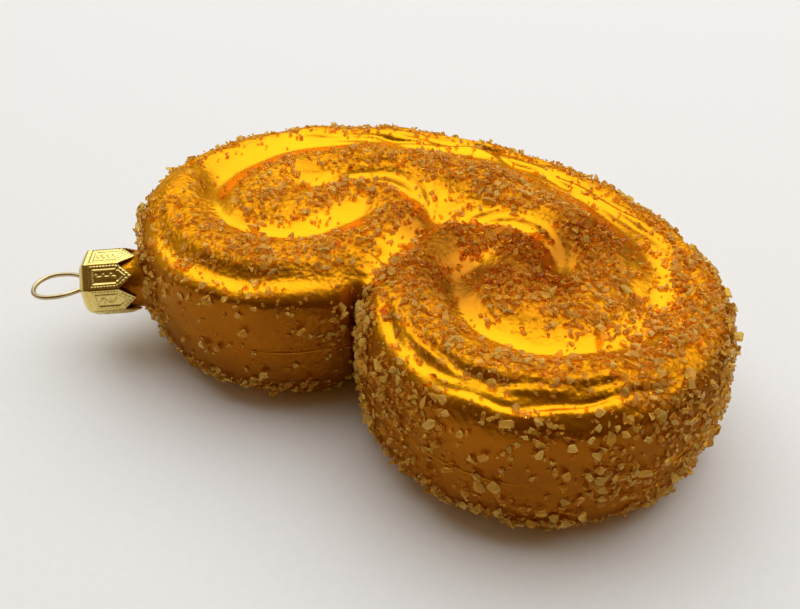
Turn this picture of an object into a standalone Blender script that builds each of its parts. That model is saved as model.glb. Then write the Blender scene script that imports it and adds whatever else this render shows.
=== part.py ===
"""Blown-glass hanging ornament in the shape of a palmier (a two-lobed scroll pastry).

Three pieces, lying flat on the table with +Z up:
  glass_body  the moulded glass scroll, the same relief on both faces, with its neck
  cap         thin stamped metal cup with eight pointed petals over the neck
  wire_loop   bent wire hanger whose two legs pass through the cap's closed end

All sizes are in millimetres and are turned into metres where the meshes are made.
"""
import math

import bmesh
import bpy
import numpy as np

MM = 0.001
GAP = 0.3                 # air between neighbouring pieces

# ---- plan of the glass body ------------------------------------------------
LOBE_X = 23.5             # centre of each front lobe, mirrored about X = 0
LOBE_Y = -7.4
LOBE_R = 27.3             # radius of the right-hand lobe at the moulding seam
LEFT_EXTRA = 1.2          # the lobe with the neck is this much larger in radius
BACK_B = 36.9             # depth of the half ellipse that forms the back
THICKNESS = 25.4          # crest to crest, top face to underside
FOOT_CUT = 0.2            # ground off the underside crests, so that it rests flat
EDGE_W = 7.5              # width of the rounded edge, seen from above
EDGE_POWER = 3.2          # roundness of the edge section
TERRACE = 1.0             # how far the outermost band lies below the crest
LEDGE_DROP = 1.3          # how much lower still it lies on the left lobe's front
LEDGE_SHARP = 2.6         # how much narrower the rounded edge is there
LEDGE_SQUARE = 1.2        # how much squarer the edge section is there

# ---- the scroll's valleys --------------------------------------------------
OUTER_B = 28.6            # depth of the outer valley's back arc
OUTER_R0 = 16.3           # outer valley's radius from the lobe centre at its side
OUTER_R1 = 11.0           # the same where the valley ends inside the curl
OUTER_TURN = 206.0        # degrees the outer valley turns round the lobe
OUTER_DEPTH = 3.0
OUTER_WIDTH = 8.0         # half width, floor to crest, at most
RIM_WIDTH = 3.4           # the same on the rim's side along the front
HEART_DROP = 0.28         # share of its depth the valley loses inside the curl
INNER_END = (25.6, -8.4)  # inner valley's end inside the lobe
INNER_RISE = (7.1, 5.0)   # its handle at the middle
INNER_FALL = (21.0, 9.5)  # its handle over the lobe
INNER_DEPTH = 3.2
INNER_WIDTH = 8.6
NOTCH_DEPTH = 3.4         # valley between the lobes, front notch to the middle
NOTCH_WIDTH = 6.0         # its half width towards the right lobe
NOTCH_LEFT = 12.0         # and towards the left one
END_FADE = 7.0            # length over which a valley runs out at its end

# ---- neck, cap and wire ----------------------------------------------------
AXIS_DEG = 41.0           # the neck points this far round from -X towards -Y
MOUTH = (-41.2, -31.0)    # where the petals' tips end, on the cap's axis
NECK_R = 4.65
NECK_END = 6.2            # the neck's length past the petal tips, inside the cap
NECK_BLEND = 2.5
CAP_LENGTH = 9.1
CAP_FLAT = 5.5            # centre to flat of the octagon, outside
CAP_WALL = 0.45
SHOULDER = 0.9            # chamfer at the closed end
PETALS = 8
PETAL_POINT = 2.3         # how far the tips stand past the petals' sides
SLOT = 0.36               # gap between two petals
SLOT_STOP = 1.5           # the slots stop this far from the closed end
WIRE_R = 0.4
LOOP_OUT = 9.6            # how far the loop stands out of the cap
LOOP_W = 8.0              # its width, outside
LEG_SPREAD = 3.6          # distance between the two legs
LEG_IN = 1.7              # how far the legs reach inside the cap
LOOP_TILT = 4.0           # degrees the loop is turned about the cap's axis

GRID = 0.95               # spacing of the lattice the glass surface is taken from
BODY_FACES = 7400         # triangles kept on the glass


# ============================================================ plan curves ====
def bezier(p0, p1, p2, p3, n):
    t = np.linspace(0.0, 1.0, n)[:, None]
    p0, p1, p2, p3 = (np.array(p, float) for p in (p0, p1, p2, p3))
    return ((1 - t) ** 3 * p0 + 3 * (1 - t) ** 2 * t * p1
            + 3 * (1 - t) * t ** 2 * p2 + t ** 3 * p3)


def mirrored(half):
    """A curve from the middle outwards, joined to its mirror image."""
    return np.concatenate([half[::-1] * (-1.0, 1.0), half[1:]])


def half_outline(radius):
    """Quarter ellipse at the back, then the lobe's circle as far as the notch."""
    t = np.radians(np.linspace(90.0, 0.0, 60))
    back = np.stack([(LOBE_X + radius) * np.cos(t), LOBE_Y + BACK_B * np.sin(t)], -1)
    stop = -180.0 + math.degrees(math.acos(LOBE_X / radius))
    t = np.radians(np.linspace(0.0, stop, 90))
    front = np.stack([LOBE_X + radius * np.cos(t), LOBE_Y + radius * np.sin(t)], -1)
    return np.concatenate([back, front[1:]])


def outline():
    """Closed seam outline; the notch closes where the two circles meet."""
    right = half_outline(LOBE_R)
    left = half_outline(LOBE_R + LEFT_EXTRA)[::-1] * (-1.0, 1.0)
    return np.concatenate([right, left])


def outer_valley():
    """Back arc, then an inward spiral round the lobe centre."""
    a = LOBE_X + OUTER_R0
    t = np.radians(np.linspace(90.0, 0.0, 50))
    back = np.stack([a * np.cos(t), LOBE_Y + OUTER_B * np.sin(t)], -1)
    s = np.linspace(0.0, 1.0, 70)
    t = np.radians(-OUTER_TURN * s)
    r = OUTER_R0 + (OUTER_R1 - OUTER_R0) * s
    spiral = np.stack([LOBE_X + r * np.cos(t), LOBE_Y + r * np.sin(t)], -1)
    return mirrored(np.concatenate([back, spiral[1:]]))


def inner_valley():
    return mirrored(bezier((0.0, 0.0), INNER_RISE, INNER_FALL, INNER_END, 50))


def notch_valley():
    return np.stack([np.zeros(20), np.linspace(-LOBE_R - 8.0, 0.0, 20)], -1)


def curve_distance(x, y, curve):
    """Distance to a polyline, how far along it, its length, and the side (+ is left)."""
    best = np.full(x.shape, 1e9)
    along = np.zeros(x.shape)
    side = np.zeros(x.shape)
    run = 0.0
    for (ax, ay), (bx, by) in zip(curve[:-1], curve[1:]):
        dx, dy = bx - ax, by - ay
        length = math.hypot(dx, dy)
        t = np.clip(((x - ax) * dx + (y - ay) * dy) / (length * length), 0.0, 1.0)
        d = np.hypot(x - ax - t * dx, y - ay - t * dy)
        near = d < best
        best = np.where(near, d, best)
        along = np.where(near, run + t * length, along)
        side = np.where(near, np.sign(dx * (y - ay) - dy * (x - ax)), side)
        run += length
    return best, along, run, side


def smooth(v):
    v = np.clip(v, 0.0, 1.0)
    return v * v * (3.0 - 2.0 * v)


def region(x, y, cx, cy, r0, r1):
    """1 inside radius r0 of a point, falling to 0 at r1."""
    return 1.0 - smooth((np.hypot(x - cx, y - cy) - r0) / (r1 - r0))


def slope(t):
    """A valley side: an even slope easing off over its last third, 1 at 0 to 0 at 1."""
    t = np.clip(t, 0.0, 1.0)
    u = np.clip((t - 0.65) / 0.35, 0.0, 1.0)
    return 1.0 - (np.minimum(t, 0.65) + 0.35 * (u - 0.5 * u * u)) / 0.825


def axis_frame():
    """Unit vectors of the cap: out of the body, and sideways in the plan."""
    a = math.radians(AXIS_DEG)
    return (-math.cos(a), -math.sin(a)), (-math.sin(a), math.cos(a))


# ======================================================== the glass surface ==
def half_height(x, y):
    """Half the glass's thickness over the plan, and the distance from its edge."""
    edge = curve_distance(x, y, outline())[0]
    lobe = np.where(x > 0, LOBE_R, LOBE_R + LEFT_EXTRA)
    ellipse = (x / (LOBE_X + lobe)) ** 2 + ((y - LOBE_Y) / BACK_B) ** 2 < 1.0
    circles = (np.abs(x) - LOBE_X) ** 2 + (y - LOBE_Y) ** 2 < lobe ** 2
    inside = np.where(y > LOBE_Y, ellipse, circles)
    edge = np.where(inside, edge, -edge)
    outer, at_outer, run_outer, side = curve_distance(x, y, outer_valley())
    inner, at_inner, run_inner, _ = curve_distance(x, y, inner_valley())
    notch = curve_distance(x, y, notch_valley())[0]
    end_outer = 0.4 + 0.6 * smooth(np.minimum(at_outer, run_outer - at_outer) / END_FADE)
    end_inner = 0.3 + 0.7 * smooth(np.minimum(at_inner, run_inner - at_inner) / END_FADE)
    # the rim's inner side is steep along the front and easy along the back
    front = smooth((-(y - LOBE_Y) - 2.0) / 10.0) * (side > 0)
    heart = 1.0 - HEART_DROP * region(np.abs(x), y, 26.0, -17.0, 7.0, 14.0)
    outer_width = OUTER_WIDTH + (RIM_WIDTH - OUTER_WIDTH) * front
    notch_width = np.where(x > 0, NOTCH_WIDTH, NOTCH_LEFT)
    # each flank ends part of the way to the next valley, or at its own full width
    sunk = np.zeros(x.shape)
    for d, other, depth, width, share in (
            (outer, np.minimum(inner, notch), OUTER_DEPTH * end_outer * heart, outer_width, 0.56),
            (inner, outer, INNER_DEPTH * end_inner, INNER_WIDTH, 0.44),
            (notch, outer, NOTCH_DEPTH, notch_width, 0.5)):
        reach = np.minimum(width, share * (d + other))
        sunk += (depth * slope(d / np.maximum(reach, 0.5))) ** 3
    half = THICKNESS / 2 - np.cbrt(sunk)
    band = smooth((edge + 1.0) / 2.5) * (1.0 - smooth((edge - 3.6) / 3.2))
    band = band * (0.65 + 0.5 * region(x, y, 30.0, -24.0, 14.0, 34.0))
    half = half - TERRACE * band * (1.0 - region(x, y, 0.0, -23.0, 5.0, 13.0))
    return half, edge


def glass_field(x, y, z, plan=None):
    """Positive inside the glass: about the distance to its surface, in mm."""
    half, edge = plan if plan is not None else half_height(x, y)
    up = np.abs(z - THICKNESS / 2)
    # the left lobe's front has a lower ledge with a squarer shoulder
    ledge = region(x, y, -17.0, -33.0, 12.0, 24.0) * (z > THICKNESS / 2)
    width, power = EDGE_W - LEDGE_SHARP * ledge, EDGE_POWER + LEDGE_SQUARE * ledge
    half = half - LEDGE_DROP * ledge * smooth((edge + 1.0) / 2.5) * (
        1.0 - smooth((edge - 3.6) / 3.2))
    side = np.maximum(width - edge, 0.0) / width
    g = (side ** power + (up / half) ** power) ** (1.0 / power)
    body = (1.0 - g) * np.where(side > up / half, width, half)
    (ux, uy), (vx, vy) = axis_frame()
    out = (x - MOUTH[0]) * ux + (y - MOUTH[1]) * uy
    across = (x - MOUTH[0]) * vx + (y - MOUTH[1]) * vy
    neck = np.minimum(NECK_R - np.hypot(across, z - THICKNESS / 2),
                      np.minimum(NECK_END - out, out + 14.0))
    mix = np.clip(0.5 + 0.5 * (neck - body) / NECK_BLEND, 0.0, 1.0)
    return body * (1 - mix) + neck * mix + NECK_BLEND * mix * (1 - mix)


def join_corners(f):
    """Fill lattice points where the solid would only touch itself at a corner."""
    f = f.copy()
    nx, ny, nz = f.shape

    def view(dx, dy, dz):
        return f[dx:nx - 1 + dx, dy:ny - 1 + dy, dz:nz - 1 + dz]

    def fill(where, corners):
        at = np.argwhere(where)
        if not len(at):
            return 0
        values = np.stack([f[tuple((at + c).T)] for c in corners], -1)
        pick = np.where(values > 0, -1e9, values).argmax(1)
        spot = at + np.array(corners)[pick]
        f[tuple(spot.T)] = 1e-3
        return len(at)

    pairs = []
    for k in range(3):
        u, v = np.eye(3, dtype=int)[(k + 1) % 3], np.eye(3, dtype=int)[(k + 2) % 3]
        pairs.append([0 * u, u + v, u, v])
    for _ in range(30):
        changed = 0
        for face in pairs:
            a, b, c, d = (view(*p) > 0 for p in face)
            changed += fill((a == b) & (c == d) & (a != c), [tuple(p) for p in face])
        corners = [(i, j, k) for i in (0, 1) for j in (0, 1) for k in (0, 1)]
        signs = {c: view(*c) > 0 for c in corners}
        number = sum(s.astype(int) for s in signs.values())
        for c in corners[:4]:
            far = tuple(1 - t for t in c)
            lone = signs[c] & signs[far] & (number == 2)
            hole = ~signs[c] & ~signs[far] & (number == 6)
            changed += fill(lone | hole, corners)
        if not changed:
            break
    return f


def surface_net(lo, hi, step, field):
    """Closed quad mesh of field = 0, from a lattice with one point per crossed cell."""
    n = [int(math.ceil((h - l) / step)) + 1 for l, h in zip(lo, hi)]
    ax = [l + step * np.arange(c) for l, c in zip(lo, n)]
    gx, gy = np.meshgrid(ax[0], ax[1], indexing="ij")
    plan = half_height(gx, gy)
    plan = (plan[0][..., None], plan[1][..., None])
    f = join_corners(field(gx[..., None], gy[..., None], ax[2][None, None, :], plan))
    inside = f > 0
    total = np.zeros([c - 1 for c in n] + [3])
    count = np.zeros([c - 1 for c in n])
    crossings = []
    for k in range(3):
        a = [slice(None)] * 3
        b = [slice(None)] * 3
        a[k], b[k] = slice(0, -1), slice(1, None)
        cross = inside[tuple(a)] != inside[tuple(b)]
        i = np.argwhere(cross)
        fa, fb = f[tuple(a)][cross], f[tuple(b)][cross]
        p = i.astype(float)
        p[:, k] += fa / (fa - fb)
        u, v = (k + 1) % 3, (k + 2) % 3
        for du in (0, -1):
            for dv in (0, -1):
                c = i.copy()
                c[:, u] += du
                c[:, v] += dv
                np.add.at(total, tuple(c.T), p)
                np.add.at(count, tuple(c.T), 1.0)
        crossings.append((k, i, fa > 0))
    used = count > 0
    index = np.full(count.shape, -1)
    index[used] = np.arange(used.sum())
    verts = np.array(lo) + step * total[used] / count[used][:, None]
    faces = []
    for k, i, first_inside in crossings:
        u, v = (k + 1) % 3, (k + 2) % 3
        ring = []
        for du, dv in ((-1, -1), (0, -1), (0, 0), (-1, 0)):
            c = i.copy()
            c[:, u] += du
            c[:, v] += dv
            ring.append(index[tuple(c.T)])
        q = np.stack(ring, -1)
        q[~first_inside] = q[~first_inside][:, ::-1]
        faces.append(q)
    return verts, np.concatenate(faces)


def settle(verts, field, rounds=3):
    """Move lattice points along the gradient onto the true surface."""
    e = 0.02
    for _ in range(rounds):
        x, y, z = verts.T
        f = field(x, y, z)
        g = np.stack([(field(x + e, y, z) - field(x - e, y, z)) / (2 * e),
                      (field(x, y + e, z) - field(x, y - e, z)) / (2 * e),
                      (field(x, y, z + e) - field(x, y, z - e)) / (2 * e)], -1)
        step = (f / np.maximum((g ** 2).sum(-1), 0.05))[:, None] * g
        size = np.linalg.norm(step, axis=1, keepdims=True)
        verts = verts - step * np.minimum(1.0, 0.4 / np.maximum(size, 1e-9))
    return verts


# ================================================================== pieces ===
def material(name, colour, rough, metal):
    m = bpy.data.materials.new(name)
    m.use_nodes = True
    b = m.node_tree.nodes["Principled BSDF"]
    b.inputs["Base Color"].default_value = (*colour, 1.0)
    b.inputs["Roughness"].default_value = rough
    b.inputs["Metallic"].default_value = metal
    return m


def add(name, verts, faces, mat, parent=None):
    mesh = bpy.data.meshes.new(name)
    mesh.from_pydata([tuple(MM * float(c) for c in v) for v in verts], [],
                     [tuple(int(i) for i in f) for f in faces])
    mesh.materials.append(mat)
    mesh.validate()
    obj = bpy.data.objects.new(name, mesh)
    bpy.context.scene.collection.objects.link(obj)
    obj.parent = parent
    bm = bmesh.new()
    bm.from_mesh(mesh)
    bmesh.ops.recalc_face_normals(bm, faces=bm.faces)
    bm.to_mesh(mesh)
    bm.free()
    return obj


def cutter(name, verts, faces, parent):
    obj = add(name, verts, faces, CUTTING, parent)
    obj.hide_render = True
    obj.display_type = "WIRE"
    return obj


def cut(obj, tool):
    mod = obj.modifiers.new(tool.name, "BOOLEAN")
    mod.operation = "DIFFERENCE"
    mod.object = tool
    mod.solver = "EXACT"


def box(x0, x1, y0, y1, z0, z1):
    verts = [(x, y, z) for z in (z0, z1) for y in (y0, y1) for x in (x0, x1)]
    return verts, [(0, 2, 3, 1), (4, 5, 7, 6), (0, 1, 5, 4), (2, 6, 7, 3),
                   (0, 4, 6, 2), (1, 3, 7, 5)]


def octagon_stack(levels):
    """Solid octagonal stack along +X: (x, centre-to-flat) for each level."""
    verts, faces = [], []
    for x, flat in levels:
        r = flat / math.cos(math.pi / PETALS)
        for k in range(PETALS):
            a = 2 * math.pi * (k + 0.5) / PETALS
            verts.append((x, r * math.cos(a), r * math.sin(a)))
    for s in range(len(levels) - 1):
        for k in range(PETALS):
            a, b = s * PETALS + k, s * PETALS + (k + 1) % PETALS
            faces.append((a, b, b + PETALS, a + PETALS))
    faces.append(tuple(range(PETALS))[::-1])
    faces.append(tuple(range((len(levels) - 1) * PETALS, len(levels) * PETALS)))
    return verts, faces


def make_body():
    a = LOBE_X + LOBE_R + 2.0
    lo = (-a - 4.0, -LOBE_R + LOBE_Y - 8.0, -1.5)
    hi = (a, LOBE_Y + BACK_B + 2.0, THICKNESS + 1.5)
    verts, faces = surface_net(lo, hi, GRID, glass_field)
    verts = settle(verts, glass_field)
    verts[:, 2] -= FOOT_CUT
    body = add("glass_body", verts, faces, GLASS)
    thin = body.modifiers.new("thin", "DECIMATE")
    thin.ratio = BODY_FACES / (2.0 * len(faces))
    floor = cutter("foot_cutter", *box(-80, 80, -80, 80, -6.0, 0.0), None)
    cut(body, floor)
    body.data.shade_smooth()
    return body


def make_cap(frame):
    """Along the cap's own +X: petal tips at 0, closed end at CAP_LENGTH."""
    outer = octagon_stack([(0.0, CAP_FLAT), (CAP_LENGTH - SHOULDER, CAP_FLAT),
                           (CAP_LENGTH, CAP_FLAT - 1.15 * SHOULDER)])
    cap = add("cap", *outer, BRASS, frame)
    inner = octagon_stack([(-1.0, CAP_FLAT - CAP_WALL),
                           (CAP_LENGTH - SHOULDER, CAP_FLAT - CAP_WALL),
                           (CAP_LENGTH - CAP_WALL, CAP_FLAT - CAP_WALL - SHOULDER)])
    cut(cap, cutter("cap_hollow", *inner, frame))
    root = PETAL_POINT
    far = CAP_LENGTH - SLOT_STOP
    wide = CAP_FLAT * math.tan(math.pi / PETALS)
    for k in range(PETALS):
        # the V between two petals and the slot behind it, as one arrow shape
        a = 2 * math.pi * (k + 0.5) / PETALS
        c, s = math.cos(a), math.sin(a)
        plan = [(-0.5, -wide * 1.3), (-0.5, wide * 1.3), (0.0, wide * 1.02),
                (root, SLOT / 2), (far, SLOT / 2), (far, -SLOT / 2),
                (root, -SLOT / 2), (0.0, -wide * 1.02)]
        verts = []
        for r in (2.0, CAP_FLAT * 1.4):
            for x, t in plan:
                verts.append((x, r * c - t * s, r * s + t * c))
        n = len(plan)
        faces = [tuple(range(n)), tuple(range(n, 2 * n))[::-1]]
        faces += [(i, i + n, (i + 1) % n + n, (i + 1) % n) for i in range(n)]
        cut(cap, cutter("petal_slot_%d" % k, verts, faces, frame))
    tilt = math.radians(LOOP_TILT)
    for side in (-1, 1):
        y, z = side * LEG_SPREAD / 2 * math.cos(tilt), side * LEG_SPREAD / 2 * math.sin(tilt)
        ring = [(y + (WIRE_R + GAP) * math.cos(t), z + (WIRE_R + GAP) * math.sin(t))
                for t in (2 * math.pi * i / 12 for i in range(12))]
        verts = [(x, p, q) for x in (CAP_LENGTH - 2.0, CAP_LENGTH + 1.0) for p, q in ring]
        faces = [tuple(range(12)), tuple(range(12, 24))[::-1]]
        faces += [(i, i + 12, (i + 1) % 12 + 12, (i + 1) % 12) for i in range(12)]
        cut(cap, cutter("wire_hole_%s" % ("a" if side < 0 else "b"), verts, faces, frame))
    return cap


def loop_path():
    """The hanger in its own plane: one leg, the oval, the other leg."""
    s = LEG_SPREAD / 2
    w = LOOP_W / 2 - WIRE_R
    x_in, x_face = CAP_LENGTH - LEG_IN, CAP_LENGTH
    tip = CAP_LENGTH + LOOP_OUT - WIRE_R
    mid = (tip + x_face) / 2 + 0.9
    half = [(x_in, s), (x_face + 0.35, s)]
    half += list(bezier((x_face + 0.35, s), (x_face + 1.5, s), (mid - 3.2, w), (mid, w), 9)[1:])
    half += list(bezier((mid, w), (mid + 2.3, w), (tip, w * 0.62), (tip, 0.0), 9)[1:])
    path = [tuple(p) for p in half]
    return np.array(path + [(x, -y) for x, y in path[::-1][1:]])


def make_wire(frame):
    path = loop_path()
    tilt = math.radians(LOOP_TILT)
    sides = 10
    verts, faces = [], []
    for i, (x, y) in enumerate(path):
        a, b = path[max(i - 1, 0)], path[min(i + 1, len(path) - 1)]
        dx, dy = b - a
        size = math.hypot(dx, dy)
        nx, ny = -dy / size, dx / size
        for k in range(sides):
            t = 2 * math.pi * k / sides
            c, h = WIRE_R * math.cos(t), WIRE_R * math.sin(t)
            px, py, pz = x + nx * c, y + ny * c, h
            verts.append((px, py * math.cos(tilt) - pz * math.sin(tilt),
                          py * math.sin(tilt) + pz * math.cos(tilt)))
    for i in range(len(path) - 1):
        for k in range(sides):
            a, b = i * sides + k, i * sides + (k + 1) % sides
            faces.append((a, b, b + sides, a + sides))
    faces.append(tuple(range(sides)))
    faces.append(tuple(range((len(path) - 1) * sides, len(path) * sides))[::-1])
    wire = add("wire_loop", verts, faces, WIRE, frame)
    wire.data.shade_smooth()
    return wire


def centre(objects):
    """Put the whole ornament's box over the origin."""
    bpy.context.view_layer.update()
    graph = bpy.context.evaluated_depsgraph_get()
    points = []
    for obj in objects:
        ev = obj.evaluated_get(graph)
        points += [ev.matrix_world @ v.co for v in ev.to_mesh().vertices]
        ev.to_mesh_clear()
    return [-(min(p[i] for p in points) + max(p[i] for p in points)) / 2 for i in range(2)]


for old in list(bpy.data.objects):
    bpy.data.objects.remove(old, do_unlink=True)

GLASS = material("amber glass", (0.72, 0.32, 0.02), 0.18, 0.75)
BRASS = material("stamped brass", (0.80, 0.62, 0.22), 0.28, 1.0)
WIRE = material("brass wire", (0.62, 0.50, 0.26), 0.35, 1.0)
CUTTING = material("cutter", (0.5, 0.5, 0.5), 0.5, 0.0)

ornament = bpy.data.objects.new("ornament", None)
bpy.context.scene.collection.objects.link(ornament)
cap_frame = bpy.data.objects.new("cap_frame", None)
bpy.context.scene.collection.objects.link(cap_frame)
cap_frame.parent = ornament
cap_frame.location = (MM * MOUTH[0], MM * MOUTH[1], MM * (THICKNESS / 2 - FOOT_CUT))
cap_frame.rotation_euler = (0.0, 0.0, math.radians(180.0 + AXIS_DEG))

body = make_body()
body.parent = ornament
cap = make_cap(cap_frame)
wire = make_wire(cap_frame)
dx, dy = centre([body, cap, wire])
ornament.location = (dx, dy, 0.0)
bpy.context.view_layer.update()
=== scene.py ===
"""Looks for the palmier-shaped glass ornament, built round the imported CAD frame."""
import math

import bmesh
import bpy
import numpy as np
from mathutils import Matrix, Vector


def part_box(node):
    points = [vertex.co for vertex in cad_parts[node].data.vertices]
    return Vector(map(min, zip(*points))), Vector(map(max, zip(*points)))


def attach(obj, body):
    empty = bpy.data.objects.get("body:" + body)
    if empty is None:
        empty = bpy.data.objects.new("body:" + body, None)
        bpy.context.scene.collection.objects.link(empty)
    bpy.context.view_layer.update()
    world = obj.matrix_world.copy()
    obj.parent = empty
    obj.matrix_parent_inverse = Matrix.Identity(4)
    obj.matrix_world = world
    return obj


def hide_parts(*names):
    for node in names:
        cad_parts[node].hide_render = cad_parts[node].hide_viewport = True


MM = 0.001
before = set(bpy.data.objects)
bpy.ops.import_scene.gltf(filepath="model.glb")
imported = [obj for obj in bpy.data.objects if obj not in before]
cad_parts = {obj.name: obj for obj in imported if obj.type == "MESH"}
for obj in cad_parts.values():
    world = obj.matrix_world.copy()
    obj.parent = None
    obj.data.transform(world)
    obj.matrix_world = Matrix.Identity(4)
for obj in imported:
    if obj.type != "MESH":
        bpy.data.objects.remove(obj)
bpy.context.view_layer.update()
glass_lo, glass_hi = (np.array(c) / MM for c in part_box("glass_body"))

# ---- the part's own sizes, in mm -------------------------------------------
LOBE_X, LOBE_Y, LOBE_R, LEFT_EXTRA = 23.5, -7.4, 27.3, 1.2
BACK_B, THICKNESS, FOOT_CUT = 36.9, 25.4, 0.2
EDGE_W, EDGE_POWER = 7.5, 3.2
LEDGE_DROP, LEDGE_SHARP, LEDGE_SQUARE = 1.3, 2.6, 1.2
OUTER_B, OUTER_R0, OUTER_R1, OUTER_TURN = 28.6, 16.3, 11.0, 206.0
OUTER_DEPTH, OUTER_WIDTH, RIM_WIDTH = 3.0, 8.0, 3.4
INNER_END, INNER_RISE, INNER_FALL = (25.6, -8.4), (7.1, 5.0), (21.0, 9.5)
INNER_DEPTH, INNER_WIDTH = 3.2, 8.6
NOTCH_DEPTH, NOTCH_WIDTH, NOTCH_LEFT, END_FADE = 3.4, 6.0, 12.0, 7.0
AXIS_DEG, MOUTH = 41.0, (-41.2, -31.0)
NECK_R, NECK_END, NECK_BLEND = 4.65, 6.2, 2.5
CAP_LENGTH, CAP_FLAT, CAP_WALL, SHOULDER = 9.1, 5.5, 0.45, 0.9
PETALS, PETAL_POINT, SLOT, SLOT_STOP = 8, 2.3, 0.36, 1.5
WIRE_R, LOOP_OUT, LOOP_W, LEG_SPREAD, LEG_IN, LOOP_TILT = 0.4, 9.6, 8.0, 3.6, 1.7, 4.0
MID = THICKNESS / 2

# the plan's own origin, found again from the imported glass
SHIFT = np.array([glass_lo[0] + LOBE_X + LOBE_R + LEFT_EXTRA,
                  glass_hi[1] - LOBE_Y - BACK_B, -FOOT_CUT])

SHELL_STEP = 0.5


# ============================================================ small helpers ==
def smooth(v):
    v = np.clip(v, 0.0, 1.0)
    return v * v * (3.0 - 2.0 * v)


def waves(seed, length, count=14, spread=0.35):
    """A smooth random field of about unit size, with features 'length' mm long."""
    rng = np.random.default_rng(seed)
    k = rng.normal(size=(count, 3))
    k /= np.linalg.norm(k, axis=1, keepdims=True)
    k *= (2 * math.pi / length) * rng.uniform(1 - spread, 1 + spread, (count, 1))
    ph = rng.uniform(0, 2 * math.pi, count)

    def field(x, y, z=0.0):
        out = 0.0
        for (a, b, c), p in zip(k, ph):
            out = out + np.sin(a * x + b * y + c * z + p)
        return out * math.sqrt(2.0 / count)
    return field


def new_mesh(name, verts, faces, mat, smooth_shade=True, attrs=None):
    """A mesh object from arrays in mm of the world frame; faces all of one size."""
    verts = np.asarray(verts, np.float64) * MM
    faces = np.asarray(faces, np.int32)
    mesh = bpy.data.meshes.new(name)
    mesh.vertices.add(len(verts))
    mesh.vertices.foreach_set("co", verts.astype(np.float32).ravel())
    n, k = faces.shape
    mesh.loops.add(n * k)
    mesh.loops.foreach_set("vertex_index", faces.ravel())
    mesh.polygons.add(n)
    mesh.polygons.foreach_set("loop_start", np.arange(0, n * k, k, dtype=np.int32))
    mesh.polygons.foreach_set("use_smooth", np.full(n, smooth_shade))
    mesh.materials.append(mat)
    mesh.update(calc_edges=True)
    for key, values in (attrs or {}).items():
        a = mesh.attributes.new(key, "FLOAT", "POINT")
        a.data.foreach_set("value", np.asarray(values, np.float32))
    obj = bpy.data.objects.new(name, mesh)
    bpy.context.scene.collection.objects.link(obj)
    return obj


# ============================================================ plan curves ====
def bezier(p0, p1, p2, p3, n):
    t = np.linspace(0.0, 1.0, n)[:, None]
    p0, p1, p2, p3 = (np.array(p, float) for p in (p0, p1, p2, p3))
    return ((1 - t) ** 3 * p0 + 3 * (1 - t) ** 2 * t * p1
            + 3 * (1 - t) * t ** 2 * p2 + t ** 3 * p3)


def mirrored(half):
    return np.concatenate([half[::-1] * (-1.0, 1.0), half[1:]])


def half_outline(radius, n=60):
    t = np.radians(np.linspace(90.0, 0.0, n))
    back = np.stack([(LOBE_X + radius) * np.cos(t), LOBE_Y + BACK_B * np.sin(t)], -1)
    stop = -180.0 + math.degrees(math.acos(LOBE_X / radius))
    t = np.radians(np.linspace(0.0, stop, int(n * 1.5)))
    front = np.stack([LOBE_X + radius * np.cos(t), LOBE_Y + radius * np.sin(t)], -1)
    return np.concatenate([back, front[1:]])


def outline(n=60):
    right = half_outline(LOBE_R, n)
    left = half_outline(LOBE_R + LEFT_EXTRA, n)[::-1] * (-1.0, 1.0)
    return np.concatenate([right, left])


def outer_valley():
    a = LOBE_X + OUTER_R0
    t = np.radians(np.linspace(90.0, 0.0, 50))
    back = np.stack([a * np.cos(t), LOBE_Y + OUTER_B * np.sin(t)], -1)
    s = np.linspace(0.0, 1.0, 70)
    t = np.radians(-OUTER_TURN * s)
    r = OUTER_R0 + (OUTER_R1 - OUTER_R0) * s
    spiral = np.stack([LOBE_X + r * np.cos(t), LOBE_Y + r * np.sin(t)], -1)
    return mirrored(np.concatenate([back, spiral[1:]]))


def inner_valley():
    return mirrored(bezier((0.0, 0.0), INNER_RISE, INNER_FALL, INNER_END, 50))


def notch_valley():
    return np.stack([np.zeros(20), np.linspace(-LOBE_R - 8.0, 0.0, 20)], -1)


def curve_distance(x, y, curve):
    """Distance to a curve, how far along it, its length, and which side (+ is left)."""
    best = np.full(x.shape, 1e9)
    along = np.zeros(x.shape)
    side = np.zeros(x.shape)
    run = 0.0
    for (ax, ay), (bx, by) in zip(curve[:-1], curve[1:]):
        dx, dy = bx - ax, by - ay
        length = math.hypot(dx, dy)
        t = np.clip(((x - ax) * dx + (y - ay) * dy) / (length * length), 0.0, 1.0)
        d = (x - ax - t * dx) ** 2 + (y - ay - t * dy) ** 2
        near = d < best
        best = np.where(near, d, best)
        along = np.where(near, run + t * length, along)
        side = np.where(near, np.sign(dx * (y - ay) - dy * (x - ax)), side)
        run += length
    return np.sqrt(best), along, run, side


def blur(a, sigma):
    """Gaussian blur of a map, sigma in cells."""
    r = int(math.ceil(3 * sigma))
    w = np.exp(-0.5 * (np.arange(-r, r + 1) / sigma) ** 2)
    w /= w.sum()
    for axis in (0, 1):
        pad = [(0, 0), (0, 0)]
        pad[axis] = (r, r)
        b = np.pad(a, pad, mode="edge")
        out = np.zeros_like(a)
        for i, wi in enumerate(w):
            sl = [slice(None)] * 2
            sl[axis] = slice(i, i + a.shape[axis])
            out += wi * b[tuple(sl)]
        a = out
    return a


# ============================================= height maps of the two faces ==
CELL = 0.25
MAP_X0, MAP_Y0 = -62.0, -48.0
NX, NY = int((56.0 - MAP_X0) / CELL) + 1, int((36.0 - MAP_Y0) / CELL) + 1


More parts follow.
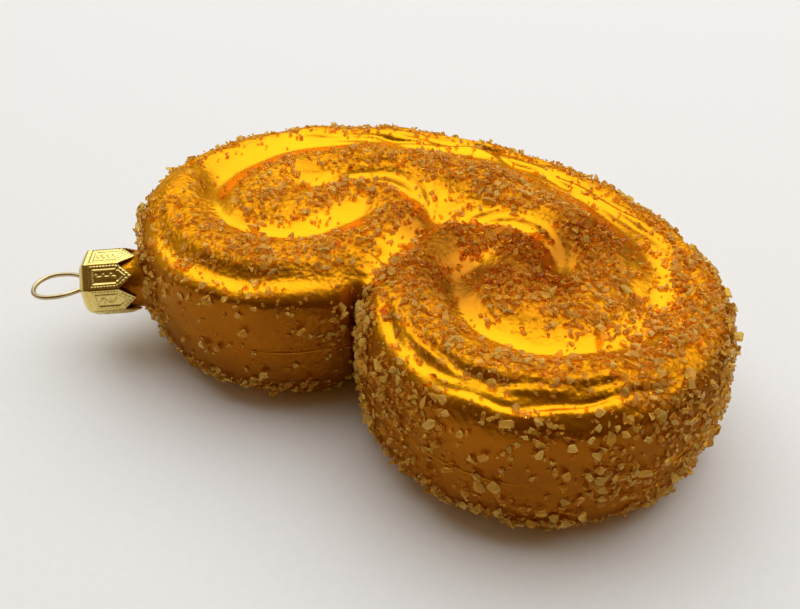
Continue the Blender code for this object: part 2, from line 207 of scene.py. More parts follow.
def region(x, y, cx, cy, r0, r1):
    """1 inside radius r0 of a point, falling to 0 at r1."""
    return 1.0 - smooth((np.hypot(x - cx, y - cy) - r0) / (r1 - r0))


def slope(t):
    """A valley side: an even slope easing off over its last third, 1 at 0 to 0 at 1."""
    t = np.clip(t, 0.0, 1.0)
    u = np.clip((t - 0.65) / 0.35, 0.0, 1.0)
    return 1.0 - (np.minimum(t, 0.65) + 0.35 * (u - 0.5 * u * u)) / 0.825


def plan_maps():
    x, y = np.meshgrid(MAP_X0 + CELL * np.arange(NX), MAP_Y0 + CELL * np.arange(NY),
                       indexing="ij")
    edge = curve_distance(x, y, outline())[0]
    lobe = np.where(x > 0, LOBE_R, LOBE_R + LEFT_EXTRA)
    ellipse = (x / (LOBE_X + lobe)) ** 2 + ((y - LOBE_Y) / BACK_B) ** 2 < 1.0
    circles = (np.abs(x) - LOBE_X) ** 2 + (y - LOBE_Y) ** 2 < lobe ** 2
    inside = np.where(y > LOBE_Y, ellipse, circles)
    edge = np.where(inside, edge, -edge)
    outer, at_outer, run_outer, side = curve_distance(x, y, outer_valley())
    inner, at_inner, run_inner, _ = curve_distance(x, y, inner_valley())
    notch = curve_distance(x, y, notch_valley())[0]
    end_outer = 0.4 + 0.6 * smooth(np.minimum(at_outer, run_outer - at_outer) / END_FADE)
    end_inner = 0.3 + 0.7 * smooth(np.minimum(at_inner, run_inner - at_inner) / END_FADE)
    # the rim's inner side is steep along the front and easy along the back
    front = smooth((-(y - LOBE_Y) - 2.0) / 10.0) * (side > 0)
    heart = 1.0 - 0.28 * region(np.abs(x), y, 26.0, -17.0, 7.0, 14.0)
    outer_width = OUTER_WIDTH + (RIM_WIDTH - OUTER_WIDTH) * front
    sunk = np.zeros(x.shape)
    for d, other, depth, width, share in (
            (outer, np.minimum(inner, notch), OUTER_DEPTH * end_outer * heart, outer_width, 0.56),
            (inner, outer, INNER_DEPTH * end_inner, INNER_WIDTH, 0.44),
            (notch, outer, NOTCH_DEPTH, np.where(x > 0, NOTCH_WIDTH, NOTCH_LEFT), 0.5)):
        reach = np.minimum(width, share * (d + other))
        sunk += (depth * slope(d / np.maximum(reach, 0.5))) ** 3
    sunk = np.cbrt(sunk)
    half = blur(MID - sunk, 3.6)
    return x, y, half, edge, outer, inner, notch, sunk, front


GX, GY, HALF, EDGE, D_OUTER, D_INNER, D_NOTCH, SUNK, STEEP = plan_maps()
SUNK_SOFT = blur(SUNK, 3.0) * 5.2 / OUTER_DEPTH

# parallel grooves of the rim, as the edges of rolled sheets: inset, half width, depth
RIM_GROOVES = ((1.7, 0.50, 0.50), (3.2, 0.52, 0.80), (4.7, 0.55, 0.95), (6.2, 0.50, 0.75),
               (7.7, 0.50, 0.55), (9.2, 0.45, 0.35))


def face_map(seed, x, y):
    """The half height of one face, with its grooves and hand-made unevenness."""
    wob = waves(seed, 26.0)
    wob2 = waves(seed + 1, 11.0)
    strength = waves(seed + 2, 30.0)
    h = HALF - 1.0 * smooth((EDGE + 1.0) / 2.5) * (1 - smooth((EDGE - 3.6) / 3.2)) * (
        0.65 + 0.5 * region(x, y, 30.0, -24.0, 14.0, 34.0)) * (
        1 - region(x, y, 0.0, -23.0, 5.0, 13.0))
    right_front = region(x, y, 30.0, -24.0, 12.0, 30.0)
    left_front = region(x, y, -26.0, -26.0, 12.0, 26.0)
    back = smooth((y - 2.0) / 14.0)
    for i, (inset, width, depth) in enumerate(RIM_GROOVES):
        e = EDGE + 0.45 * wob(x + 40 * i, y) + 0.25 * wob2(x, y + 40 * i)
        a = 0.45 + 0.55 * right_front + 0.25 * back - 0.4 * left_front
        a = a * (1 - 0.9 * region(x, y, -9.0, -27.0, 7.0, 17.0))
        a = a * np.clip(0.8 + 0.6 * strength(x + 60 * i, y), 0.1, 1.5)
        h = h - depth * a * np.exp(-((e - inset) / width) ** 2)
    # finer ribs on the flanks of the scroll
    rib = np.sin(2 * math.pi * (D_OUTER + 0.5 * wob(x, y + 90)) / 1.9)
    flank = smooth((D_OUTER - 2.6) / 1.6) * smooth((EDGE - 5.5) / 2.0)
    h = h - 0.11 * (rib + 1) * flank * np.clip(0.5 + 0.7 * strength(x, y + 50), 0, 1.2)
    h = h + 0.16 * waves(seed + 3, 13.0)(x, y)
    return blur(h, 1.2)


TOP = face_map(11, GX, GY)
BOTTOM = face_map(57, GX, GY)
MAPS = np.stack([TOP, BOTTOM, EDGE])


def lookup(maps, x, y):
    """Catmull-Rom interpolation of stacked maps."""
    u = (x - MAP_X0) / CELL
    v = (y - MAP_Y0) / CELL
    i = np.clip(np.floor(u).astype(int), 1, NX - 3)
    j = np.clip(np.floor(v).astype(int), 1, NY - 3)
    fu, fv = u - i, v - j

    def weights(t):
        return (((-0.5 * t + 1.0) * t - 0.5) * t, (1.5 * t - 2.5) * t * t + 1.0,
                ((-1.5 * t + 2.0) * t + 0.5) * t, (0.5 * t - 0.5) * t * t)
    wu, wv = weights(fu), weights(fv)
    out = 0.0
    for a in range(4):
        for b in range(4):
            out = out + wu[a] * wv[b] * maps[:, i + a - 1, j + b - 1]
    return out


def axis_frame():
    a = math.radians(AXIS_DEG)
    return (-math.cos(a), -math.sin(a)), (-math.sin(a), math.cos(a))


def glass_field(x, y, z):
    top, bottom, edge = lookup(MAPS, x, y)
    half = np.where(z > MID, top, bottom)
    up = np.abs(z - MID)
    # the left lobe's front has a lower ledge with a squarer shoulder
    ledge = region(x, y, -17.0, -33.0, 12.0, 24.0) * (z > MID)
    width, power = EDGE_W - LEDGE_SHARP * ledge, EDGE_POWER + LEDGE_SQUARE * ledge
    half = half - LEDGE_DROP * ledge * smooth((edge + 1.0) / 2.5) * (
        1.0 - smooth((edge - 3.6) / 3.2))
    side = np.maximum(width - edge, 0.0) / width
    g = (side ** power + (up / half) ** power) ** (1.0 / power)
    body = (1.0 - g) * np.where(side > up / half, width, half)
    (ux, uy), (vx, vy) = axis_frame()
    out = (x - MOUTH[0]) * ux + (y - MOUTH[1]) * uy
    across = (x - MOUTH[0]) * vx + (y - MOUTH[1]) * vy
    neck = np.minimum(NECK_R - np.hypot(across, z - MID),
                      np.minimum(NECK_END - out, out + 14.0))
    mix = np.clip(0.5 + 0.5 * (neck - body) / NECK_BLEND, 0.0, 1.0)
    return body * (1 - mix) + neck * mix + NECK_BLEND * mix * (1 - mix)


# ================================================= the glass shell's surface =
def join_corners(f):
    f = f.copy()
    nx, ny, nz = f.shape

    def view(dx, dy, dz):
        return f[dx:nx - 1 + dx, dy:ny - 1 + dy, dz:nz - 1 + dz]

    def fill(where, corners):
        at = np.argwhere(where)
        if not len(at):
            return 0
        values = np.stack([f[tuple((at + c).T)] for c in corners], -1)
        pick = np.where(values > 0, -1e9, values).argmax(1)
        spot = at + np.array(corners)[pick]
        f[tuple(spot.T)] = 1e-3
        return len(at)

    pairs = []
    for k in range(3):
        u, v = np.eye(3, dtype=int)[(k + 1) % 3], np.eye(3, dtype=int)[(k + 2) % 3]
        pairs.append([0 * u, u + v, u, v])
    for _ in range(30):
        changed = 0
        for face in pairs:
            a, b, c, d = (view(*p) > 0 for p in face)
            changed += fill((a == b) & (c == d) & (a != c), [tuple(p) for p in face])
        corners = [(i, j, k) for i in (0, 1) for j in (0, 1) for k in (0, 1)]
        signs = {c: view(*c) > 0 for c in corners}
        number = sum(s.astype(int) for s in signs.values())
        for c in corners[:4]:
            far = tuple(1 - t for t in c)
            lone = signs[c] & signs[far] & (number == 2)
            hole = ~signs[c] & ~signs[far] & (number == 6)
            changed += fill(lone | hole, corners)
        if not changed:
            break
    return f


def surface_net(lo, hi, step, field):
    n = [int(math.ceil((h - l) / step)) + 1 for l, h in zip(lo, hi)]
    ax = [l + step * np.arange(c) for l, c in zip(lo, n)]
    gx, gy = np.meshgrid(ax[0], ax[1], indexing="ij")
    f = np.empty(n)
    for k, zk in enumerate(ax[2]):
        f[:, :, k] = field(gx, gy, np.full(gx.shape, zk))
    f = join_corners(f)
    inside = f > 0
    total = np.zeros([c - 1 for c in n] + [3])
    count = np.zeros([c - 1 for c in n])
    crossings = []
    for k in range(3):
        a = [slice(None)] * 3
        b = [slice(None)] * 3
        a[k], b[k] = slice(0, -1), slice(1, None)
        cross = inside[tuple(a)] != inside[tuple(b)]
        i = np.argwhere(cross)
        fa, fb = f[tuple(a)][cross], f[tuple(b)][cross]
        p = i.astype(float)
        p[:, k] += fa / (fa - fb)
        u, v = (k + 1) % 3, (k + 2) % 3
        for du in (0, -1):
            for dv in (0, -1):
                c = i.copy()
                c[:, u] += du
                c[:, v] += dv
                np.add.at(total, tuple(c.T), p)
                np.add.at(count, tuple(c.T), 1.0)
        crossings.append((k, i, fa > 0))
    used = count > 0
    index = np.full(count.shape, -1)
    index[used] = np.arange(used.sum())
    verts = np.array(lo) + step * total[used] / count[used][:, None]
    faces = []
    for k, i, first_inside in crossings:
        u, v = (k + 1) % 3, (k + 2) % 3
        ring = []
        for du, dv in ((-1, -1), (0, -1), (0, 0), (-1, 0)):
            c = i.copy()
            c[:, u] += du
            c[:, v] += dv
            ring.append(index[tuple(c.T)])
        q = np.stack(ring, -1)
        q[~first_inside] = q[~first_inside][:, ::-1]
        faces.append(q)
    return verts, np.concatenate(faces)


def gradient(p, field, e=0.03):
    x, y, z = p.T
    return np.stack([(field(x + e, y, z) - field(x - e, y, z)) / (2 * e),
                     (field(x, y + e, z) - field(x, y - e, z)) / (2 * e),
                     (field(x, y, z + e) - field(x, y, z - e)) / (2 * e)], -1)


def settle(verts, field, rounds=3):
    for _ in range(rounds):
        f = field(*verts.T)
        g = gradient(verts, field)
        step = (f / np.maximum((g ** 2).sum(-1), 0.05))[:, None] * g
        size = np.linalg.norm(step, axis=1, keepdims=True)
        verts = verts - step * np.minimum(1.0, 0.4 / np.maximum(size, 1e-9))
    return verts


def normals_of(verts, faces):
    a, b, c, d = (verts[faces[:, i]] for i in range(4))
    fn = np.cross(c - a, d - b)
    n = np.zeros_like(verts)
    for i in range(4):
        np.add.at(n, faces[:, i], fn)
    return n / np.maximum(np.linalg.norm(n, axis=1, keepdims=True), 1e-12)


SWELL = waves(101, 17.0)
RIPPLE = waves(102, 4.2, 20)
CRUMPLE = waves(103, 2.0, 30)


def grit_zone(p):
    """How much the surface is sugared, 0 to 1, over points of the plan frame."""
    x, y, z = p.T
    depth = lookup(SUNK_SOFT[None], x, y)[0]
    edge = lookup(EDGE[None], x, y)[0]
    crest = 1.0 - smooth((depth - 0.5) / 2.6)
    crest = crest * (1 - 0.65 * region(x, y, -50.0, -2.0, 12.0, 30.0))
    crest = crest * (1 - 0.45 * region(x, y, -15.0, 32.0, 12.0, 26.0))
    back_flank = lookup(STEEP[None], x, y)[0]
    crest = np.maximum(crest, back_flank * (1.0 - smooth((depth - 2.6) / 2.2)))
    wall = 1.0 - smooth((edge - 0.6) / 1.6)
    walls = (0.30 + 0.35 * region(x, y, 8.0, -34.0, 8.0, 20.0)
             + 0.5 * region(x, y, 50.0, 0.0, 16.0, 34.0) + 0.5 * smooth((y - 4) / 12))
    # bare bands along the shoulders of the two lobes' fronts
    band = np.maximum(np.exp(-((edge - 2.6) / 1.9) ** 2) * region(x, y, -20.0, -34.0, 16.0, 27.0),
                      np.exp(-((edge - 3.4) / 2.6) ** 2) * region(x, y, 27.0, -34.0, 14.0, 27.0))
    return np.clip((crest * (1 - wall) + walls * wall) * (1 - 0.9 * band), 0, 1)


def painted_shade_patches(p):
    """Painted shade: browner patches on the right scroll's heart and the ridge behind it, for the base colour and the
    grains there.
    """
    x, y, z = p.T
    patch = np.maximum(0.95 * region(x, y, 14.5, -9.0, 7.0, 13.5),
                       0.8 * region(x, y, 25.0, 5.5, 4.0, 12.0))
    patch = np.maximum(patch, 0.7 * region(x, y, -3.0, -4.0, 1.5, 6.0))
    for cx, cy, most in ((10.8, -13.2, 1.0), (9.5, -3.0, 0.95), (17.5, -0.8, 0.9),
                         (24.0, -6.5, 0.8), (16.5, -11.0, 0.9)):
        patch = np.maximum(patch, most * region(x, y, cx, cy, 3.0, 6.8))
    patch = patch * (1 - region(x, y, 27.0, -17.0, 4.5, 8.5))
    patch = patch * (1 - 0.8 * region(x, y, 13.4, -5.6, 0.8, 2.8))
    return np.clip(patch * (0.85 + 0.25 * SWELL(x, y, z)) * (z > MID), 0, 1)


def unevenness(p):
    x, y, z = p.T
    zone = grit_zone(p)
    return (0.14 * SWELL(x, y, z) + (0.012 + 0.022 * zone) * RIPPLE(x, y, z)
            + 0.030 * zone * CRUMPLE(x, y, z))


def near_neck(p):
    (ux, uy), _ = axis_frame()
    return smooth(((p[:, 0] - MOUTH[0]) * ux + (p[:, 1] - MOUTH[1]) * uy + 3.0) / 3.0)


a = LOBE_X + LOBE_R + 2.0
shell_v, shell_f = surface_net((-a - 4.0, -LOBE_R + LOBE_Y - 8.0, -1.6),
                               (a, LOBE_Y + BACK_B + 2.0, THICKNESS + 1.6),
                               SHELL_STEP, glass_field)
shell_v = settle(shell_v, glass_field)
shell_n = normals_of(shell_v, shell_f)
shell_v = shell_v + shell_n * (unevenness(shell_v) * (1 - near_neck(shell_v)))[:, None]
shell_v[:, 2] = np.maximum(shell_v[:, 2], FOOT_CUT)
shell_n = normals_of(shell_v, shell_f)
shell_zone = grit_zone(shell_v)


# ================================================================ materials ==
def node_material(name):
    m = bpy.data.materials.new(name)
    m.use_nodes = True
    nt = m.node_tree
    return m, nt, nt.nodes["Principled BSDF"]


def ramp(nt, stops, interpolation="LINEAR"):
    r = nt.nodes.new("ShaderNodeValToRGB")
    r.color_ramp.interpolation = interpolation
    el = r.color_ramp.elements
    while len(el) < len(stops):
        el.new(0.5)
    for e, (pos, col) in zip(el, stops):
        e.position = pos
        e.color = (*col, 1.0) if len(col) == 3 else col
    return r


def noise(nt, vector, scale, detail=4.0, rough=0.55, distortion=0.0):
    n = nt.nodes.new("ShaderNodeTexNoise")
    n.inputs["Scale"].default_value = scale
    n.inputs["Detail"].default_value = detail
    n.inputs["Roughness"].default_value = rough
    n.inputs["Distortion"].default_value = distortion
    nt.links.new(vector, n.inputs["Vector"])
    return n


def bump(nt, bsdf, sources):
    """Chain of bump nodes: (height socket, strength, distance in metres)."""
    last = None
    for socket, strength, distance in sources:
        b = nt.nodes.new("ShaderNodeBump")
        b.inputs["Strength"].default_value = strength
        b.inputs["Distance"].default_value = distance
        nt.links.new(socket, b.inputs["Height"])
        if last:
            nt.links.new(last.outputs["Normal"], b.inputs["Normal"])
        last = b
    nt.links.new(last.outputs["Normal"], bsdf.inputs["Normal"])


def mix_rgb(nt, factor, a, b, blend="MIX"):
    m = nt.nodes.new("ShaderNodeMix")
    m.data_type = "RGBA"
    m.blend_type = blend
    if isinstance(factor, (int, float)):
        m.inputs[0].default_value = factor
    else:
        nt.links.new(factor, m.inputs[0])
    for value, slot in ((a, 6), (b, 7)):
        if isinstance(value, tuple):
            m.inputs[slot].default_value = (*value, 1.0)
        else:
            nt.links.new(value, m.inputs[slot])
    return m.outputs[2]


def glass_material():
    m, nt, b = node_material("amber_lustre_glass")
    tc = nt.nodes.new("ShaderNodeTexCoord")
    zone = nt.nodes.new("ShaderNodeAttribute")
    zone.attribute_name = "zone"
    wall = nt.nodes.new("ShaderNodeAttribute")
    wall.attribute_name = "wall"
    cloud = noise(nt, tc.outputs["Object"], 55.0, 3.0)
    fine = noise(nt, tc.outputs["Object"], 650.0, 3.0, 0.6)
    speck = noise(nt, tc.outputs["Object"], 1500.0, 2.0, 0.6)
    base = ramp(nt, [(0.3, (0.80, 0.315, 0.003)), (0.5, (0.85, 0.352, 0.003)),
                     (0.7, (0.90, 0.395, 0.004))])
    nt.links.new(cloud.outputs["Fac"], base.inputs["Fac"])
    # painted shade: faces marked by the 'wall' attribute (the steep sides) get a darker, deeper base colour
    wall_shade_colour = ramp(nt, [(0.3, (0.28, 0.078, 0.001)), (0.7, (0.40, 0.122, 0.002))])
    nt.links.new(cloud.outputs["Fac"], wall_shade_colour.inputs["Fac"])
    body = mix_rgb(nt, wall.outputs["Fac"], base.outputs["Color"], wall_shade_colour.outputs["Color"])
    # painted shade: the shade patches darken the base colour towards brown
    patch_shade = nt.nodes.new("ShaderNodeAttribute")
    patch_shade.attribute_name = "patch_shade"
    patch_shade_brown = ramp(nt, [(0.3, (0.33, 0.105, 0.003)), (0.7, (0.46, 0.160, 0.005))])
    nt.links.new(cloud.outputs["Fac"], patch_shade_brown.inputs["Fac"])
    body = mix_rgb(nt, patch_shade.outputs["Fac"], body, patch_shade_brown.outputs["Color"])
    dusty = ramp(nt, [(0.36, (0.62, 0.59, 0.44)), (0.64, (1.0, 1.0, 0.94))])
    nt.links.new(fine.outputs["Fac"], dusty.inputs["Fac"])
    dust = nt.nodes.new("ShaderNodeMath")
    dust.operation = "MULTIPLY"
    dust.inputs[1].default_value = 0.8
    nt.links.new(zone.outputs["Fac"], dust.inputs[0])
    colour = mix_rgb(nt, dust.outputs[0], body, dusty.outputs["Color"], "MULTIPLY")
    nt.links.new(colour, b.inputs["Base Color"])
    rough = nt.nodes.new("ShaderNodeMapRange")
    rough.inputs["To Min"].default_value = 0.27
    rough.inputs["To Max"].default_value = 0.52
    nt.links.new(zone.outputs["Fac"], rough.inputs["Value"])
    nt.links.new(rough.outputs[0], b.inputs["Roughness"])
    b.inputs["Metallic"].default_value = 0.84
    b.inputs["Specular Tint"].default_value = (1.0, 0.80, 0.40, 1.0)
    b.inputs["Coat Weight"].default_value = 0.0
    b.inputs["Coat Roughness"].default_value = 0.2
    cells = nt.nodes.new("ShaderNodeTexVoronoi")
    cells.feature = "F1"
    cells.inputs["Scale"].default_value = 1150.0
    shake = noise(nt, tc.outputs["Object"], 700.0, 2.0)
    pushed = nt.nodes.new("ShaderNodeVectorMath")
    pushed.operation = "MULTIPLY_ADD"
    nt.links.new(shake.outputs["Color"], pushed.inputs[0])
    pushed.inputs[1].default_value = (0.0011, 0.0011, 0.0011)
    nt.links.new(tc.outputs["Object"], pushed.inputs[2])
    nt.links.new(pushed.outputs[0], cells.inputs["Vector"])
    crumbs = nt.nodes.new("ShaderNodeMath")
    crumbs.operation = "MULTIPLY"
    nt.links.new(cells.outputs["Distance"], crumbs.inputs[0])
    nt.links.new(zone.outputs["Fac"], crumbs.inputs[1])
    bump(nt, b, [(crumbs.outputs[0], 0.45, 0.0005), (fine.outputs["Fac"], 0.16, 0.0004),
                 (speck.outputs["Fac"], 0.10, 0.0003)])
    return m


def grain_material():
    m, nt, b = node_material("honey_glass_grit")
    tone = nt.nodes.new("ShaderNodeAttribute")
    tone.attribute_name = "tone"
    col = ramp(nt, [(0.0, (0.86, 0.37, 0.02)), (0.35, (0.98, 0.54, 0.05)),
                    (0.7, (1.0, 0.65, 0.10)), (1.0, (1.0, 0.74, 0.19))])
    nt.links.new(tone.outputs["Fac"], col.inputs["Fac"])
    nt.links.new(col.outputs["Color"], b.inputs["Base Color"])
    tc = nt.nodes.new("ShaderNodeTexCoord")
    n = noise(nt, tc.outputs["Object"], 1800.0, 2.0)
    rr = nt.nodes.new("ShaderNodeMapRange")
    rr.inputs["To Min"].default_value = 0.03
    rr.inputs["To Max"].default_value = 0.16
    nt.links.new(n.outputs["Fac"], rr.inputs["Value"])
    nt.links.new(rr.outputs[0], b.inputs["Roughness"])
    clear = nt.nodes.new("ShaderNodeMapRange")
    clear.inputs["To Min"].default_value = 0.94
    clear.inputs["To Max"].default_value = 0.60
    nt.links.new(tone.outputs["Fac"], clear.inputs["Value"])
    nt.links.new(clear.outputs[0], b.inputs["Transmission Weight"])
    b.inputs["Specular Tint"].default_value = (1.0, 0.68, 0.24, 1.0)
    b.inputs["IOR"].default_value = 1.19
    b.inputs["Coat Weight"].default_value = 0.0
    b.inputs["Coat Roughness"].default_value = 0.08
    bump(nt, b, [(n.outputs["Fac"], 0.15, 0.0002)])
    return m


def brass_material(name, colour_a, colour_b, rough_a, rough_b, scale):
    m, nt, b = node_material(name)
    tc = nt.nodes.new("ShaderNodeTexCoord")
    n1 = noise(nt, tc.outputs["Object"], scale, 4.0, 0.6)
    n2 = noise(nt, tc.outputs["Object"], scale * 6, 3.0, 0.6)
    col = ramp(nt, [(0.3, colour_a), (0.7, colour_b)])
    nt.links.new(n1.outputs["Fac"], col.inputs["Fac"])
    nt.links.new(col.outputs["Color"], b.inputs["Base Color"])
    rr = nt.nodes.new("ShaderNodeMapRange")
    rr.inputs["To Min"].default_value = rough_a
    rr.inputs["To Max"].default_value = rough_b
    nt.links.new(n2.outputs["Fac"], rr.inputs["Value"])
    nt.links.new(rr.outputs[0], b.inputs["Roughness"])
    b.inputs["Metallic"].default_value = 1.0
    bump(nt, b, [(n2.outputs["Fac"], 0.2, 0.00012)])
    return m


GLASS = glass_material()
GRIT = grain_material()
CAPMAT = brass_material("stamped_gold_brass", (0.68, 0.50, 0.14), (0.92, 0.75, 0.25),
                        0.20, 0.36, 250.0)
WIREMAT = brass_material("drawn_brass", (0.52, 0.42, 0.22), (0.70, 0.58, 0.34),
                         0.26, 0.44, 300.0)

# painted shade: steep faces are marked for the darker wall colour, more the steeper they stand
shell_wall_shade = smooth((0.94 - np.abs(shell_n[:, 2])) / 0.48)
shell = new_mesh("glass_shell", shell_v + SHIFT, shell_f, GLASS, True,
                 {"zone": shell_zone, "wall": shell_wall_shade, "patch_shade": painted_shade_patches(shell_v)})
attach(shell, "root")
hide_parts("glass_body")

# ============================================================== mould seam ===
def mould_seam():
    path = outline(150)[::2]
    keep = np.concatenate([[True], np.hypot(*(path[1:] - path[:-1]).T) > 0.05])
    path = path[keep]
    pts = np.column_stack([path, np.full(len(path), MID)])
    nxt, prv = np.roll(path, -1, 0), np.roll(path, 1, 0)
    t = nxt - prv
    t /= np.linalg.norm(t, axis=1, keepdims=True)
    out = np.column_stack([-t[:, 1], t[:, 0], np.zeros(len(t))])
    centre_line = pts[:, :2].mean(0)
    flip = np.sign(((pts[:, :2] - centre_line) * out[:, :2]).sum(1))
    if (flip < 0).mean() > 0.5:
        out = -out
    pts = settle(pts, glass_field, 4)
    pts[:, 2] = MID + 0.12 * waves(140, 22.0)(pts[:, 0], pts[:, 1])
    pts = pts + out * unevenness(pts)[:, None]
    show = np.clip(0.65 + 0.6 * waves(141, 17.0)(pts[:, 0], pts[:, 1])
                   - 0.6 * region(pts[:, 0], pts[:, 1], -26.0, -34.0, 16.0, 30.0), 0.0, 1.0)
    rad = 0.07 + 0.12 * show
    pts = pts + out * (-0.12 + 0.13 * show)[:, None]
    sides = 8
    verts, faces = [], []
    n = len(pts)
    for k in range(sides):
        a = 2 * math.pi * k / sides
        ring = pts + out * (rad * math.cos(a))[:, None]
        ring[:, 2] += rad * 1.1 * math.sin(a)
        verts.append(ring)
    verts = np.stack(verts, 1).reshape(-1, 3)
    for i in range(n):
        j = (i + 1) % n
        for k in range(sides):
            l = (k + 1) % sides
            faces.append((i * sides + k, j * sides + k, j * sides + l, i * sides + l))
    # the seam takes part of the painted wall shade
    obj = new_mesh("mould_seam", verts + SHIFT, faces, GLASS, True,
                   {"zone": np.full(len(verts), 0.2), "wall": np.full(len(verts), 0.6)})
    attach(obj, "root")


mould_seam()

# ================================================================== grains ===
def template(rng, points, bevel, flat):
    """A crushed-glass crystal about 1 mm across: (verts, triangles)."""
    box = rng.uniform(0.62, 1.0, 3) * (1.0, 0.85, flat)
    p = rng.uniform(-0.5, 0.5, (points, 3))
    p /= np.maximum(np.abs(p).max(1, keepdims=True) * 2, 1e-6)   # onto the box's faces
    p *= rng.uniform(0.78, 1.0, (points, 1)) * box
    bm = bmesh.new()
    for q in p:
        bm.verts.new(q)
    res = bmesh.ops.convex_hull(bm, input=bm.verts)
    loose = [g for g in res["geom_interior"] if isinstance(g, bmesh.types.BMVert)]
    bmesh.ops.delete(bm, geom=list({v for v in loose if v.is_valid}), context="VERTS")
    bmesh.ops.dissolve_limit(bm, angle_limit=math.radians(14), verts=bm.verts, edges=bm.edges)
    if bevel:
        bmesh.ops.bevel(bm, geom=list(bm.edges), offset=bevel, segments=1,
                        affect="EDGES", clamp_overlap=True)
    bmesh.ops.triangulate(bm, faces=bm.faces)
    bmesh.ops.recalc_face_normals(bm, faces=bm.faces)
    bm.verts.index_update()
    v = np.array([q.co[:] for q in bm.verts])
    f = np.array([[q.index for q in t.verts] for t in bm.faces])
    bm.free()
    return v, f


tri = np.concatenate([shell_f[:, [0, 1, 2]], shell_f[:, [0, 2, 3]]])
tri_p = shell_v[tri]
tri_n = np.cross(tri_p[:, 1] - tri_p[:, 0], tri_p[:, 2] - tri_p[:, 0])
tri_area = np.linalg.norm(tri_n, axis=1) / 2
tri_n = tri_n / np.maximum(2 * tri_area, 1e-9)[:, None]
tri_c = tri_p.mean(1)
PATCH = waves(201, 9.0, 20)
PATCH2 = waves(202, 4.0, 20)


def density(p, kind):
    """How thickly the grains of a kind lie, 0 to 1: 0 coarse, 1 medium, 2 fine."""
    x, y, z = p.T
    depth, edge = lookup(np.stack([SUNK_SOFT, EDGE]), x, y)
    crest = 1.0 - smooth((depth - 0.2) / 2.8)
    rim = 1.0 - smooth((edge - 0.6) / 1.6)                      # the outer wall
    high = np.abs(z - MID)                                      # away from the seam
    near = lambda cx, cy, r0, r1: region(x, y, cx, cy, r0, r1)
    d = (0.02 + 0.45 * crest ** 1.6, 0.05 + 0.66 * crest ** 1.2, 0.09 + 0.75 * crest)[kind]
    # the terrace between the wall and the first crest, and bare or thick patches
    band = np.exp(-((edge - 3.4) / 2.6) ** 2)
    side = near(46, -2, 16, 30)
    d = d * (1 - band * (0.65, 0.5, 0.35)[kind] * (1 - 0.6 * side))
    d = d * (1 - 0.72 * np.exp(-((edge - 5.2) / 3.6) ** 2) * near(27, -30, 12, 24))
    d = d * (1 - 0.55 * band * near(27, -30, 12, 24))
    d = d * (1 - 0.72 * near(-52, -4, 14, 34)) * (1 - 0.5 * near(-15, 32, 12, 26))
    d = d * (1 - 0.5 * near(-32, -24, 5, 14)) * (1 - (0.25, 0.50, 0.55)[kind] * near(-30, -8, 20, 34))
    d = np.maximum(d, (0.25, 0.8, 0.9)[kind] * near(45, 2, 7, 15) * smooth((edge - 1) / 2))
    d = np.maximum(d, (1.1, 0.6, 0.3)[kind] * near(3.6, -15.5, 2.6, 5.5))
    d = d * (1 - 0.75 * near(-12, -31, 5, 13) * (high < 11.5))
    d = np.maximum(d, (0.45, 0.95, 1.0)[kind] * near(22.5, -10.5, 3.6, 6.5))
    d = np.maximum(d, (0.55, 0.8, 0.7)[kind] * near(36.5, -8.5, 3.5, 8.0))
    d = d * (1 - 0.92 * near(28.0, -17.4, 3.0, 6.0))
    d = np.maximum(d, (0.5, 0.9, 0.9)[kind] * near(9.0, -4.2, 2.2, 4.6))
    d = d * (1 - 0.8 * near(13.6, -7.0, 1.0, 3.0))
    d = d * (1 - 0.80 * near(8.0, 3.6, 3.0, 7.0))
    d = d + (0.50, 0.25, 0.1)[kind] * near(26, 3, 6, 13) * crest
    wall = (0.080, 0.030, 0.05)[kind] + (0.26, 0.19, 0.16)[kind] * near(50, 0, 18, 36)
    wall = wall + (0.08, 0.10, 0.25)[kind] * near(12, -35, 6, 14)
    wall = wall + (0.5, 0.3, 0.3)[kind] * near(-44, -26, 8, 20) + (0.7, 0.25, 0.15)[kind] * near(6, -27, 4, 10)
    wall = wall + 0.45 * smooth((high - 5.5) / 3.0) * (z < MID) + 0.12 * smooth((high - 6.5) / 3.0) + 0.35 * smooth((y - 5.0) / 12.0)
    left = near(-22, -38, 12, 22)
    wall = wall * (1 - (0.40, 0.6, 0.72)[kind] * left * (1 - smooth((high - 5.0) / 3.0) * (z < MID)))
    d = d * (1 - rim) + np.minimum(wall, 1.0) * rim
    d = d * np.clip(0.85 + 0.42 * PATCH(x, y, z) + 0.25 * PATCH2(x, y, z), 0.05, 1.5)
    return np.clip(d, 0.0, 1.2)


def bare(p):
    """Off the foot, off the neck and clear of the cap."""
    (ux, uy), (vx, vy) = axis_frame()
    out = (p[:, 0] - MOUTH[0]) * ux + (p[:, 1] - MOUTH[1]) * uy
    across = (p[:, 0] - MOUTH[0]) * vx + (p[:, 1] - MOUTH[1]) * vy
    off = np.hypot(across, p[:, 2] - MID)
    return (out > -0.9) & (off < CAP_FLAT + 2.5)


taken = {}


